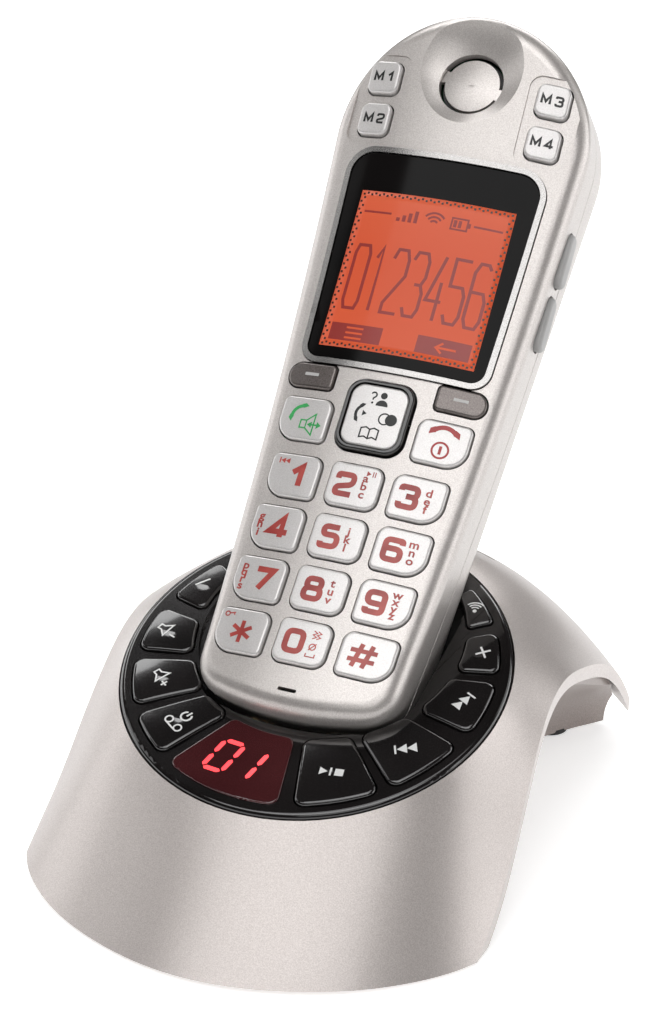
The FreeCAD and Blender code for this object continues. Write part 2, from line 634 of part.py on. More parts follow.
# ---- ring of buttons and the cradle ----
def on_inner_circle(bearing, radius):
    """Where the line at this bearing meets the circle that the keys' inner ends follow."""
    turn = math.radians(bearing)
    along = V(math.cos(turn), math.sin(turn), 0)
    drop = along.y * RING_KEY_INNER_B
    return along * (drop + math.sqrt(drop ** 2 + radius ** 2 - RING_KEY_INNER_B ** 2))


def sector_wire(first, last, grow):
    """A key-shaped sector between the well's circle and the ring's outer band."""
    def outer(bearing):
        turn = math.radians(bearing)
        return V(math.cos(turn), math.sin(turn), 0) * (RING_KEY_OUTER + grow)

    side = math.degrees(grow / 37.0)
    first, last = first - side, last + side
    middle = (first + last) / 2.0
    inner_radius = RING_KEY_INNER - grow
    a, b, c = (on_inner_circle(x, inner_radius) for x in (first, middle, last))
    return Part.Wire([
        Part.LineSegment(a, outer(first)).toShape(),
        Part.Arc(outer(first), outer(middle), outer(last)).toShape(),
        Part.LineSegment(outer(last), c).toShape(),
        Part.Arc(c, b, a).toShape(),
    ])


def sector_body(first, last, grow, low, high, edge, domed=False):
    body = prism(sector_wire(first, last, grow), low, high)
    upright = [e for e in body.Edges if abs(e.BoundBox.ZLength - (high - low)) < 1e-6]
    narrow = min(RING_KEY_OUTER - on_inner_circle(x, RING_KEY_INNER).Length for x in (first, last))
    corner = min(2.4, 0.3 * narrow) + grow
    body = body.makeFillet(corner, upright)
    if domed:
        middle = body.Solids[0].CenterOfMass
        body = body.common(Part.makeSphere(RING_KEY_DOME, V(middle.x, middle.y, high - RING_KEY_DOME)))
    return soften(body, edge, top_edges(body)) if edge else body


def make_ring():
    ring = cylinder(RING_RADIUS - 0.1, RING_THICKNESS, V(0, 0, RING_TOP - RING_THICKNESS))
    ring = soften(ring, 1.3, top_edges(ring))
    lowered = cylinder(RING_KEY_INNER - 1.1, 2.0, V(0, RING_KEY_INNER_B, RING_TOP - 0.9))
    ring = ring.cut(lowered)
    for first, last in RING_KEYS.values():
        ring = ring.cut(sector_body(first, last, 0.35, -8, 8, 0))
    first, last = DISPLAY_BEARINGS
    ring = ring.cut(sector_body(first, last, 0.1, -0.8, 8, 0))
    return place_ring(ring).cut(well_space(1.5))


def make_ring_keys():
    made = {}
    for name, (first, last) in RING_KEYS.items():
        key = sector_body(first, last, 0.0, RING_TOP - 3.6, RING_TOP + RING_KEY_PROUD, 0.8, domed=True)
        made[name] = place_ring(key)
    first, last = DISPLAY_BEARINGS
    window = sector_body(first, last, 0.0, -0.7, RING_TOP + 0.4, 0.35)
    made["base_display_window"] = place_ring(window)
    display = box(-20.0, -2.0, -38.5, -27.5, -8.5, -4.2)
    made["base_display_module"] = place_ring(display)
    return made


def well_space(clearance):
    """The channel that the handset slides in, with a stated clearance all round."""
    channel = prism(handset_outline(-clearance), HANDSET_BACK_W - clearance, 60)
    return place_handset(channel)


def below_ring(depth):
    """Everything below the ring by depth, inside the base."""
    return place_ring(cylinder(41.5, 60, V(0, 0, -60 - depth)))


def make_cradle():
    cup = well_space(3.3).common(below_ring(RING_THICKNESS - RING_TOP + 0.1))
    cup = cup.cut(well_space(1.5))
    for x in (-9, 9):
        slot = box(x - 2.6, x + 2.6, -9, 0, -14.9, -11.1)
        cup = cup.cut(place_handset(slot))
    return cup


def make_charging_contacts():
    strips = []
    for x in (-9, 9):
        strip = box(x - 2.2, x + 2.2, -8.0, -2.0, -14.4, -13.4)
        tip = cylinder(1.2, 4.4, V(x - 2.2, -2.6, -13.2), V(1, 0, 0))
        strips.append(place_handset(strip.fuse(tip)))
    return Part.makeCompound(strips)


# ---- base insides ----
def make_base_insides():
    made = {}
    board = box(-24, 24, -34, 52, 8.0, 9.6)
    made["base_circuit_board"] = board
    speaker = cylinder(15.5, 3.0, V(0, -44, 3.4)).fuse(cylinder(8.0, 4.0, V(0, -44, 6.4)))
    made["base_speaker"] = speaker.cut(box(-24, 24, -36, 52, 7.0, 12.0))
    feet = [cylinder(5.0, FOOT_HEIGHT + 0.6, V(x, y, 0)) for x, y in BASE_FEET]
    made["base_feet"] = Part.makeCompound(feet)
    screws = []
    for x, y in BASE_SCREWS:
        head = cylinder(2.8, 1.2, V(x, y, FOOT_HEIGHT + 0.3))
        screws.append(head.fuse(cylinder(1.3, 9.0, V(x, y, FOOT_HEIGHT + 1.5))))
    made["base_screws"] = Part.makeCompound(screws)
    return made


def build():
    blank, cavity = handset_blank(0.0), handset_blank(WALL)
    handset = make_face_keys()
    handset.update(make_side_keys())
    handset.update(make_handset_insides())
    handset["handset_front_housing"] = make_front_housing(blank, cavity)
    handset["handset_rear_housing"] = make_rear_housing(blank, cavity)
    handset["battery_door"] = make_battery_door()
    parts = {name: place_handset(shape) for name, shape in handset.items()}
    parts["base_top_shell"] = make_top_shell()
    parts["base_bottom_housing"] = make_bottom_housing()
    parts["button_ring"] = make_ring()
    parts["cradle_well"] = make_cradle()
    parts["charging_contacts"] = make_charging_contacts()
    parts.update(make_ring_keys())
    parts.update(make_jacks())
    parts.update(make_base_insides())
    return parts


def main():
    parts = build()
    points = [p for shape in parts.values() for p in shape.tessellate(0.05)[0]]
    front, back = min(p.y for p in points), max(p.y for p in points)
    shift = V(0, -(front + back) / 2.0, 0)
    print("shift", shift.y, "front", front, "back", back, "lowest", min(p.z for p in points))
    os.makedirs("parts", exist_ok=True)
    for name, shape in parts.items():
        shape.translate(shift)
        shape.exportStep("parts/" + name + ".step")
        print(name, len(shape.Solids), round(shape.Volume, 1), shape.isValid())
    print(len(parts), "nodes")


main()
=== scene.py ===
import math

import bmesh
import bpy
from mathutils import Matrix, Vector


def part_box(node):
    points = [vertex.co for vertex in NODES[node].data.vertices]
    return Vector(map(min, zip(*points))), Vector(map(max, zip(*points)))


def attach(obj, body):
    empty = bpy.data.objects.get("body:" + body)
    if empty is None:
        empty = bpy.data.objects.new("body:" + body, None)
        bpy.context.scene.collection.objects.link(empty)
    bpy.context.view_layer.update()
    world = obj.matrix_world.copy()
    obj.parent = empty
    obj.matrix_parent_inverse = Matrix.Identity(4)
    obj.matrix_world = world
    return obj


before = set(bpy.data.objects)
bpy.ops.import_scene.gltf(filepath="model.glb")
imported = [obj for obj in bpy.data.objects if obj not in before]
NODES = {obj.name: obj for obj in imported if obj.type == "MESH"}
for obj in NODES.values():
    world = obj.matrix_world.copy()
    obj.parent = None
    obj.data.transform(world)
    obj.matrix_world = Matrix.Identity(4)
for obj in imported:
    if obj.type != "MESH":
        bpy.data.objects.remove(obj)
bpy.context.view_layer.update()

# Sizes and places below are in millimetres, in the handset's, the ring's or the base's own axes.
# They are carried into the frame, which is in metres, only when a mesh is made.
MM = 0.001
FEET_CENTRE_Y = 14.0                 # the feet's middle, in the base's own axes
feet_low, feet_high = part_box("base_feet")
BASE_Y = (feet_low.y + feet_high.y) / 2 / MM - FEET_CENTRE_Y

# Handset: u across, v up along it, w out of its face.
HANDSET_TURN = math.radians(90.0 - 40.97)
HANDSET_ORIGIN = Vector((0.0, -23.4 + BASE_Y, 40.4))
FACE_CROWN_RADIUS = 121.7
FACE_SWEEP_RADIUS = 589.7
FACE_MIDDLE_V = 82.8
# Ring: a across, b up its slope, h out of it.
RING_TURN = math.radians(21.89)
RING_CENTRE = Vector((0.0, -6.67 + BASE_Y, 44.82))

# Where things are on the handset's face.
KEY_PITCH_U = 15.64
KEY_PITCH_V = 13.45
FIRST_ROW_V = 16.12
KEY_PROUD = 1.1
NAV_V = 74.4
CALL_KEY = (17.4, 71.2)
SOFT_KEY = (19.0, 82.5)
MEMORY_KEY_U = 21.65
MEMORY_KEY_V = (149.6, 160.4)
SCREEN_U = 19.8
SCREEN_V = (90.7, 131.3)
LENS_PROUD = 0.25
RING_KEY_TOP = 1.8
RING_KEY_DOME = 170.0
WINDOW_TOP = 1.2
PRINT_LIFT = 0.03                    # how far printed marks stand above their surface
PRINT_DEPTH = 0.10                   # and how thick they are
LONGEST_EDGE = 1.3                   # of any flat mark, so that it follows the curved surface under it
SPLIT_ROUNDS = 4                     # at most, to bring every edge under that length


def handset_at(u, v, lift):
    """A point lift above the handset's saddle-shaped face."""
    sweep = (v - FACE_MIDDLE_V) ** 2 / (2 * FACE_SWEEP_RADIUS)
    crown = u ** 2 / (2 * FACE_CROWN_RADIUS)
    local = Matrix.Rotation(HANDSET_TURN, 4, "X") @ Vector((u, v, sweep - crown + lift))
    return (local + HANDSET_ORIGIN) * MM


def ring_at(a, b, lift):
    """A point lift above the plane of the base's ring."""
    local = Matrix.Rotation(RING_TURN, 4, "X") @ Vector((a, b, lift))
    return (local + RING_CENTRE) * MM


# ---- materials ----
def new_material(name):
    """A material with its nodes, its links and its shader."""
    material = bpy.data.materials.new(name)
    material.use_nodes = True
    tree = material.node_tree
    return material, tree.nodes, tree.links, tree.nodes["Principled BSDF"]


def noise(nodes, links, scale, detail=2.0):
    """Noise in the frame's own metres, so its grain has a real size."""
    where = nodes.new("ShaderNodeTexCoord")
    grain = nodes.new("ShaderNodeTexNoise")
    grain.inputs["Scale"].default_value = scale
    grain.inputs["Detail"].default_value = detail
    links.new(where.outputs["Object"], grain.inputs["Vector"])
    return grain


def ramp(nodes, links, source, stops):
    """Turns a value into a colour through stops of (place, colour)."""
    node = nodes.new("ShaderNodeValToRGB")
    elements = node.color_ramp.elements
    while len(elements) < len(stops):
        elements.new(0.5)
    for element, (place, colour) in zip(elements, stops):
        element.position = place
        element.color = (*colour, 1.0)
    links.new(source, node.inputs["Fac"])
    return node


def bump(nodes, links, source, shader, strength, distance):
    """Tilts the surface by a height, in metres."""
    node = nodes.new("ShaderNodeBump")
    node.inputs["Strength"].default_value = strength
    node.inputs["Distance"].default_value = distance
    links.new(source, node.inputs["Height"])
    links.new(node.outputs["Normal"], shader.inputs["Normal"])


def roughness_from(nodes, links, source, shader, low, high):
    """Lets the roughness drift between two values."""
    spread = nodes.new("ShaderNodeMapRange")
    spread.inputs["To Min"].default_value = low
    spread.inputs["To Max"].default_value = high
    links.new(source, spread.inputs["Value"])
    links.new(spread.outputs["Result"], shader.inputs["Roughness"])


def metallic_paint(name, dark, light, metallic, rough, coat):
    """Metallic paint over plastic: fine flakes that vary in shade and in tilt."""
    material, nodes, links, shader = new_material(name)
    flakes = noise(nodes, links, 3800.0, 1.0)
    shade = ramp(nodes, links, flakes.outputs["Fac"], ((0.30, dark), (0.70, light)))
    links.new(shade.outputs["Color"], shader.inputs["Base Color"])
    drift = noise(nodes, links, 26.0)
    roughness_from(nodes, links, drift.outputs["Fac"], shader, rough - 0.03, rough + 0.04)
    bump(nodes, links, flakes.outputs["Fac"], shader, 0.10, 0.00008)
    shader.inputs["Metallic"].default_value = metallic
    shader.inputs["Coat Weight"].default_value = coat
    shader.inputs["Coat Roughness"].default_value = 0.18
    return material


def moulded_plastic(name, dark, light, rough, grain=1500.0, depth=0.00004, coat=0.0, specular=0.5):
    """Moulded plastic with a faint sparked grain and a slow drift in shade."""
    material, nodes, links, shader = new_material(name)
    drift = noise(nodes, links, 45.0)
    shade = ramp(nodes, links, drift.outputs["Fac"], ((0.35, dark), (0.65, light)))
    links.new(shade.outputs["Color"], shader.inputs["Base Color"])
    texture = noise(nodes, links, grain)
    roughness_from(nodes, links, texture.outputs["Fac"], shader, max(rough - 0.04, 0.02), rough + 0.05)
    bump(nodes, links, texture.outputs["Fac"], shader, 0.25, depth)
    shader.inputs["Specular IOR Level"].default_value = specular
    shader.inputs["Coat Weight"].default_value = coat
    shader.inputs["Coat Roughness"].default_value = 0.05
    return material


def lit(name, dark, light, strength, scale=30.0, rough=0.3):
    """A lit surface: glowing ink, a backlit panel or a digit."""
    material, nodes, links, shader = new_material(name)
    drift = noise(nodes, links, scale)
    shade = ramp(nodes, links, drift.outputs["Fac"], ((0.35, dark), (0.65, light)))
    links.new(shade.outputs["Color"], shader.inputs["Base Color"])
    links.new(shade.outputs["Color"], shader.inputs["Emission Color"])
    shader.inputs["Emission Strength"].default_value = strength
    shader.inputs["Roughness"].default_value = rough
    return material


def screen_material():
    """The backlit panel: orange, a little brighter at its top and bottom edges."""
    material, nodes, links, shader = new_material("screen_orange")
    where = nodes.new("ShaderNodeTexCoord")
    split = nodes.new("ShaderNodeSeparateXYZ")
    links.new(where.outputs["Object"], split.inputs["Vector"])
    rise = nodes.new("ShaderNodeMapRange")
    low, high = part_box("display_lens")
    rise.inputs["From Min"].default_value = low.z
    rise.inputs["From Max"].default_value = high.z
    links.new(split.outputs["Z"], rise.inputs["Value"])
    stops = ((0.0, (0.56, 0.088, 0.034)), (0.5, (0.53, 0.076, 0.028)), (1.0, (0.57, 0.104, 0.046)))
    shade = ramp(nodes, links, rise.outputs["Result"], stops)
    links.new(shade.outputs["Color"], shader.inputs["Base Color"])
    links.new(shade.outputs["Color"], shader.inputs["Emission Color"])
    shader.inputs["Emission Strength"].default_value = 0.36
    shader.inputs["Roughness"].default_value = 0.35
    shader.inputs["Specular IOR Level"].default_value = 0.2
    shader.inputs["Coat Weight"].default_value = 0.15
    shader.inputs["Coat Roughness"].default_value = 0.08
    return material


# Metallic paints: name, darkest and lightest flake, metallic, roughness, coat.
SILVER = metallic_paint(
    "silver_paint", (0.50, 0.462, 0.442), (0.66, 0.625, 0.60), 0.55, 0.36, 0.25)
SHELL_SILVER = metallic_paint(
    "shell_silver", (0.50, 0.45, 0.43), (0.65, 0.60, 0.575), 0.50, 0.38, 0.2)
KEY_SILVER = metallic_paint(
    "key_silver", (0.60, 0.575, 0.565), (0.70, 0.68, 0.67), 0.35, 0.30, 0.5)
# The base's lower housing is the same silver as the shell; its darker grey here is painted shade, standing in
# for the shadow under the shell's overhang.
HOUSING_SILVER_PAINTED_SHADE = metallic_paint(
    "housing_grey", (0.24, 0.205, 0.19), (0.34, 0.295, 0.275), 0.5, 0.42, 0.1)
DARK_METALLIC = metallic_paint(
    "dark_metallic", (0.10, 0.085, 0.08), (0.19, 0.165, 0.155), 0.7, 0.32, 0.4)
BRIGHT_TRIM = metallic_paint(
    "bright_trim", (0.30, 0.29, 0.285), (0.40, 0.39, 0.38), 0.95, 0.24, 0.3)
CONTACT = metallic_paint(
    "contact_metal", (0.75, 0.60, 0.32), (0.85, 0.70, 0.42), 1.0, 0.25, 0.0)
STEEL = metallic_paint(
    "screw_steel", (0.45, 0.45, 0.45), (0.60, 0.60, 0.60), 1.0, 0.30, 0.0)
# Plastics: name, darkest and lightest shade, roughness, then grain scale, grain depth and coat.
SIDE_GREY = moulded_plastic("side_key_grey", (0.34, 0.335, 0.33), (0.40, 0.395, 0.39), 0.38)
BLACK_GLOSS = moulded_plastic(
    "black_gloss", (0.006, 0.005, 0.005), (0.011, 0.009, 0.009), 0.13, 60.0, 0.00002, 0.8)
BLACK_KEY = moulded_plastic(
    "black_key", (0.008, 0.007, 0.007), (0.014, 0.012, 0.012), 0.10, 50.0, 0.00002, 1.0)
BLACK_MATT = moulded_plastic("black_matt", (0.010, 0.010, 0.010), (0.018, 0.017, 0.017), 0.45)
WINDOW_BLACK = moulded_plastic(
    "window_black", (0.004, 0.004, 0.004), (0.007, 0.006, 0.006), 0.10, 40.0, 0.00001,
    specular=0.09)
RED_WINDOW = moulded_plastic(
    "red_window", (0.050, 0.008, 0.010), (0.072, 0.014, 0.016), 0.09, 50.0, 0.00001, 1.0)
CIRCUIT = moulded_plastic("circuit_green", (0.02, 0.13, 0.05), (0.03, 0.19, 0.08), 0.35)
RUBBER = moulded_plastic(
    "foot_rubber", (0.020, 0.020, 0.020), (0.032, 0.031, 0.031), 0.75, 2500.0)
MAT = moulded_plastic("mat_silicone", (0.42, 0.42, 0.42), (0.50, 0.50, 0.49), 0.6)
BATTERY = moulded_plastic("battery_wrap", (0.05, 0.09, 0.26), (0.08, 0.13, 0.34), 0.35)
LEGEND_BLACK = moulded_plastic("legend_black", (0.008, 0.008, 0.008), (0.014, 0.013, 0.013), 0.4)
LEGEND_GREEN = moulded_plastic("legend_green", (0.03, 0.36, 0.09), (0.05, 0.44, 0.12), 0.35)
LEGEND_CRIMSON = moulded_plastic("legend_crimson", (0.42, 0.03, 0.03), (0.52, 0.05, 0.045), 0.35)
LEGEND_WHITE = moulded_plastic("legend_white", (0.80, 0.80, 0.79), (0.88, 0.88, 0.87), 0.35)
LEGEND_GREY = moulded_plastic("legend_grey", (0.50, 0.49, 0.48), (0.58, 0.57, 0.56), 0.35)
# Lit surfaces: name, darkest and lightest shade, strength.
SCREEN = screen_material()
PIXEL = lit("screen_pixels", (0.20, 0.014, 0.010), (0.25, 0.020, 0.014), 0.25)
PIXEL_BLACK = lit("screen_border", (0.012, 0.006, 0.005), (0.020, 0.010, 0.008), 0.0)
LEGEND_RED = lit("legend_red", (0.30, 0.030, 0.026), (0.46, 0.070, 0.055), 0.10, 160.0)
RED_DIGIT = lit("red_digit", (0.95, 0.035, 0.045), (1.0, 0.08, 0.09), 1.5)

KEY_ROWS = (("key_star", "key_0", "key_hash"), ("key_7", "key_8", "key_9"),
            ("key_4", "key_5", "key_6"), ("key_1", "key_2", "key_3"))
DIGIT_KEYS = [name for row in KEY_ROWS for name in row]
MEMORY_KEYS = ["memory_key_%d" % number for number in range(1, 5)]
RING_KEYS = ["key_play_stop", "key_rewind", "key_forward", "key_delete", "key_page", "key_answer",
             "key_volume_up", "key_volume_down", "key_greeting"]
FINISHES = (
    (SILVER, ["handset_front_housing", "handset_rear_housing", "battery_door", "earpiece_cover"]),
    (SHELL_SILVER, ["base_top_shell"]),
    # painted shade: the lower housing's silver darkened as if shaded by the shell above it
    (HOUSING_SILVER_PAINTED_SHADE, ["base_bottom_housing"]),
    (KEY_SILVER, DIGIT_KEYS + MEMORY_KEYS + ["key_call", "key_end", "nav_key"]),
    (SIDE_GREY, ["side_key_up", "side_key_down"]),
    (DARK_METALLIC, ["soft_key_left", "soft_key_right"]),
    (BLACK_GLOSS, ["button_ring", "nav_rim"]),
    (BLACK_KEY, RING_KEYS),
    (BLACK_MATT, ["cradle_well", "base_speaker", "earpiece_speaker", "microphone", "line_jack",
                  "power_jack", "display_module", "base_display_module"]),
    (BRIGHT_TRIM, ["display_bezel"]),
    (WINDOW_BLACK, ["display_lens"]),
    (RED_WINDOW, ["base_display_window"]),
    (CONTACT, ["charging_contacts", "handset_charge_contacts"]),
    (STEEL, ["base_screws", "handset_screws"]),
    (CIRCUIT, ["base_circuit_board", "handset_circuit_board"]),
    (RUBBER, ["base_feet"]),
    (MAT, ["keypad_mat"]),
    (BATTERY, ["battery_pack"]),
)


def dress_frame():
    """Gives each CAD node its finish."""
    for material, names in FINISHES:
        for name in names:
            node = NODES[name]
            node.data.materials.clear()
            node.data.materials.append(material)


# ---- flat drawing, in millimetres ----
def disc(x, y, radius, count=28):
    """The outline of a filled circle."""
    turns = [2 * math.pi * i / count for i in range(count)]
    return [(x + radius * math.cos(turn), y + radius * math.sin(turn)) for turn in turns]


def bar(x, y, width, height):
    """The outline of a rectangle about its middle."""
    return [(x - width / 2, y - height / 2), (x + width / 2, y - height / 2),
            (x + width / 2, y + height / 2), (x - width / 2, y + height / 2)]


def arc(x, y, radius, first, last, count=14):
    """Points along an arc between two turns, in degrees."""
    turns = [math.radians(first + (last - first) * i / count) for i in range(count + 1)]
    return [(x + radius * math.cos(t), y + radius * math.sin(t)) for t in turns]


SHARPEST_MITRE = 0.42                # the cosine at which a pen line's corners stop growing


def stroke(points, width, closed=False):
    """A pen line along a path: its two mitred edges, drawn later as one strip."""
    left, right = [], []
    count = len(points)
    for i, (x, y) in enumerate(points):
        before = points[(i - 1) % count] if closed else points[max(i - 1, 0)]
        after = points[(i + 1) % count] if closed else points[min(i + 1, count - 1)]
        one = Vector((x - before[0], y - before[1]))
        two = Vector((after[0] - x, after[1] - y))
        one = one.normalized() if one.length else two.normalized()
        two = two.normalized() if two.length else one
        along = (one + two).normalized()
        reach = width / 2 / max(along.dot(one), SHARPEST_MITRE)
        side = Vector((-along.y, along.x)) * reach
        left.append((x + side.x, y + side.y))
        right.append((x - side.x, y - side.y))
    if closed:
        left.append(left[0])
        right.append(right[0])
    return {"left": left, "right": right}


def eased(points, radius, closed=False, steps=5):
    """The same path with its corners rounded."""
    out = []
    count = len(points)
    for i, point in enumerate(points):
        if not closed and i in (0, count - 1):
            out.append(point)
            continue
        here = Vector(point)
        before = Vector(points[(i - 1) % count]) - here
        after = Vector(points[(i + 1) % count]) - here
        reach = min(radius, before.length * 0.48, after.length * 0.48)
        start, end = here + before.normalized() * reach, here + after.normalized() * reach
        for k in range(steps + 1):
            t = k / steps
            out.append(tuple(start * (1 - t) ** 2 + here * 2 * t * (1 - t) + end * t ** 2))
    return out


def loop(x, y, radius, width, count=28):
    """A circle's line."""
    return stroke(disc(x, y, radius, count), width, closed=True)


def moved(shapes, dx=0.0, dy=0.0, scale=1.0, turn=0.0):
    """The same shapes turned, scaled and shifted."""
    c, s = math.cos(math.radians(turn)), math.sin(math.radians(turn))

    def shift(points):
        return [(dx + scale * (c * x - s * y), dy + scale * (s * x + c * y)) for x, y in points]

    return [{side: shift(points) for side, points in shape.items()} if isinstance(shape, dict)
            else shift(shape) for shape in shapes]


def area(points):
    """The signed area inside an outline: positive when it runs anticlockwise."""
    ahead = points[1:] + points[:1]
    return sum(x * next_y - next_x * y for (x, y), (next_x, next_y) in zip(points, ahead)) / 2


def finish_piece(name, mesh, material, body):
    """Makes a mesh into a named piece that rides on a body."""
    piece = bpy.data.objects.new(name, mesh)
    bpy.context.scene.collection.objects.link(piece)
    mesh.materials.clear()
    mesh.materials.append(material)
    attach(piece, body)
    return piece


def add_strip(build, shape, lift, thickness):
    """A pen line's closed strip, with ends unless it runs back to its start."""
    left, right = shape["left"], shape["right"]
    closed = left[0] == left[-1] and len(left) > 3
    count = len(left) - 1 if closed else len(left)
    low = lift - thickness
    rows = [[build.verts.new((*points[i], level)) for i in range(count)]
            for points, level in ((left, lift), (right, lift), (right, low), (left, low))]
    for i in range(count if closed else count - 1):
        j = (i + 1) % count
        for k in range(4):
            one, two = rows[k], rows[(k + 1) % 4]
            build.faces.new((one[i], two[i], two[j], one[j]))
    if not closed:
        build.faces.new([row[0] for row in rows][::-1])
        build.faces.new([row[-1] for row in rows])


def add_plate(build, points, lift, thickness):
    """A flat closed plate with the given outline."""
    if area(points) < 0:
        points = points[::-1]
    top = [build.verts.new((x, y, lift)) for x, y in points]
    bottom = [build.verts.new((x, y, lift - thickness)) for x, y in points]
    build.faces.new(top)
    build.faces.new(bottom[::-1])
    for i in range(len(points)):
        j = (i + 1) % len(points)
        build.faces.new((bottom[i], bottom[j], top[j], top[i]))


def bend(build, place):
    """Splits long edges and carries every point on to the curved surface."""
    bmesh.ops.triangulate(build, faces=build.faces[:], ngon_method="EAR_CLIP")
    for _ in range(SPLIT_ROUNDS):
        long_edges = [edge for edge in build.edges if edge.calc_length() > LONGEST_EDGE]
        if not long_edges:
            break
        bmesh.ops.subdivide_edges(build, edges=long_edges, cuts=1)
        bmesh.ops.triangulate(build, faces=build.faces[:])
    for vertex in build.verts:
        vertex.co = place(*vertex.co)
    bmesh.ops.recalc_face_normals(build, faces=build.faces[:])


def inlay(name, shapes, place, lift, thickness, material, body):
    """Thin solid marks whose tops are lift above the surface: outlines and pen lines."""
    build = bmesh.new()
    for shape in shapes:
        if isinstance(shape, dict):
            add_strip(build, shape, lift, thickness)
        else:
            add_plate(build, shape, lift, thickness)
    bend(build, place)
    mesh = bpy.data.meshes.new(name)
    build.to_mesh(mesh)
    build.free()
    return finish_piece(name, mesh, material, body)


def lettering(name, text, at, leading, lift, material, body):
    """A column of small letters from the built-in typeface, centred at a point of the handset's face."""
    curve = bpy.data.curves.new(name, "FONT")
    curve.space_line = leading
    curve.body = text
    curve.size = LETTER_SIZE
    curve.offset = LETTER_BOLD
    curve.extrude = PRINT_DEPTH / 2
    curve.align_x = "CENTER"
    curve.align_y = "CENTER"
    curve.resolution_u = 5
    typed = bpy.data.objects.new(name, curve)
    bpy.context.scene.collection.objects.link(typed)
    bpy.context.view_layer.update()
    mesh = bpy.data.meshes.new_from_object(typed.evaluated_get(bpy.context.evaluated_depsgraph_get()))
    bpy.data.objects.remove(typed)
    across = [point.co.x for point in mesh.vertices]
    upward = [point.co.y for point in mesh.vertices]
    middle_x = (min(across) + max(across)) / 2
    middle_y = (min(upward) + max(upward)) / 2
    for point in mesh.vertices:
        u = at[0] + (point.co.x - middle_x) * LETTER_STRETCH
        v = at[1] + point.co.y - middle_y
        point.co = handset_at(u, v, lift - PRINT_DEPTH / 2 + point.co.z)
    mesh.update()
    return finish_piece(name, mesh, material, body)


def patch(name, place, x_range, y_range, lift, thickness, material, body, steps=20):
    """A thin panel that follows the surface everywhere."""
    build = bmesh.new()
    across = [x_range[0] + (x_range[1] - x_range[0]) * i / steps for i in range(steps + 1)]
    upward = [y_range[0] + (y_range[1] - y_range[0]) * i / steps for i in range(steps + 1)]
    top, bottom = [[[build.verts.new(place(x, y, level)) for x in across] for y in upward]
                   for level in (lift, lift - thickness)]
    for j in range(steps):
        for i in range(steps):
            build.faces.new((top[j][i], top[j][i + 1], top[j + 1][i + 1], top[j + 1][i]))
            build.faces.new((bottom[j][i], bottom[j + 1][i], bottom[j + 1][i + 1], bottom[j][i + 1]))
    for i in range(steps):
        build.faces.new((bottom[0][i], bottom[0][i + 1], top[0][i + 1], top[0][i]))
        build.faces.new((top[steps][i], top[steps][i + 1], bottom[steps][i + 1], bottom[steps][i]))
        build.faces.new((top[i][0], top[i + 1][0], bottom[i + 1][0], bottom[i][0]))
        build.faces.new((bottom[i][steps], bottom[i + 1][steps], top[i + 1][steps], top[i][steps]))
    mesh = bpy.data.meshes.new(name)
    build.to_mesh(mesh)
    build.free()
    for face in mesh.polygons:
        face.use_smooth = True
    return finish_piece(name, mesh, material, body)


# ---- legends on the handset's keys ----
# Broad numerals as pen paths in a unit square; True marks a closed path.
BROAD_NUMERALS = {
    "0": [([(0, 0), (1, 0), (1, 1), (0, 1)], True)],
    "1": [([(0.08, 0.66), (0.62, 1.0), (0.62, 0)], False)],
    "2": [([(0, 0.76), (0, 1), (1, 1), (1, 0.53), (0, 0.33), (0, 0), (1.02, 0)], False)],
    "3": [([(0, 0.8), (0, 1), (1, 1), (1, 0.53), (0.36, 0.53)], False),
          ([(0.36, 0.53), (1, 0.53), (1, 0), (0, 0), (0, 0.22)], False)],
    "4": [([(0.72, 0), (0.72, 1.02), (-0.04, 0.27), (1.12, 0.27)], False)],
    "5": [([(0.98, 1), (0.05, 1), (0.05, 0.58), (1, 0.58), (1, 0), (0, 0), (0, 0.2)], False)],
    "6": [([(1, 0.8), (1, 1), (0, 1), (0, 0.5), (0, 0), (1, 0), (1, 0.56), (0, 0.56)], False)],
    "7": [([(-0.05, 1), (1.0, 1), (0.3, 0)], False)],
    "8": [([(0.06, 0.53), (0.94, 0.53), (0.94, 1), (0.06, 1)], True),
          ([(0, 0), (1, 0), (1, 0.53), (0, 0.53)], True)],
    "9": [([(0, 0.2), (0, 0), (1, 0), (1, 0.5), (1, 1), (0, 1), (0, 0.44), (1, 0.44)], False)],
    "M": [([(0, 0), (0, 1), (0.5, 0.25), (1, 1), (1, 0)], False)],
}
NUMERAL_WIDTH = 3.95
NUMERAL_HEIGHT = 4.9
NUMERAL_PEN = 1.45
SQUARE_CORNERS = "147M"              # the others have rounded corners
CORNER_SHARE = 0.36                  # a rounded corner's reach, as a share of the width
LETTER_SIZE = 2.8
LETTER_BOLD = 0.07
LETTER_STRETCH = 1.15
LETTER_LEADING = 0.74
TIGHT_LEADING = 0.62                 # where four letters share a key
STAR_REACH = 2.75
# key: numeral, where it stands on the key, small letters, where their column stands
DIGIT_LEGENDS = {
    "key_1": ("1", 1.5, "", 0.0),
    "key_2": ("2", -2.1, "abc", 2.6),
    "key_3": ("3", -2.0, "def", 2.6),
    "key_4": ("4", 0.7, "ghi", -4.3),
    "key_5": ("5", -1.7, "jkl", 2.8),
    "key_6": ("6", -1.8, "mno", 2.8),
    "key_7": ("7", 1.3, "pqrs", -4.1),
    "key_8": ("8", -1.6, "tuv", 2.8),
    "key_9": ("9", -1.9, "wxyz", 2.7),
    "key_0": ("0", -1.9, "", 0.0),
}


def broad_numeral(character, x, y, width, height, pen):
    """A numeral or the letter M, as pen lines centred at a point."""
    shapes = []
    for path, closed in BROAD_NUMERALS[character]:
        points = [(x - width / 2 + px * width, y - height / 2 + py * height) for px, py in path]
        if character not in SQUARE_CORNERS:
            points = eased(points, CORNER_SHARE * width, closed)
        shapes.append(stroke(points, pen, closed))
    return shapes


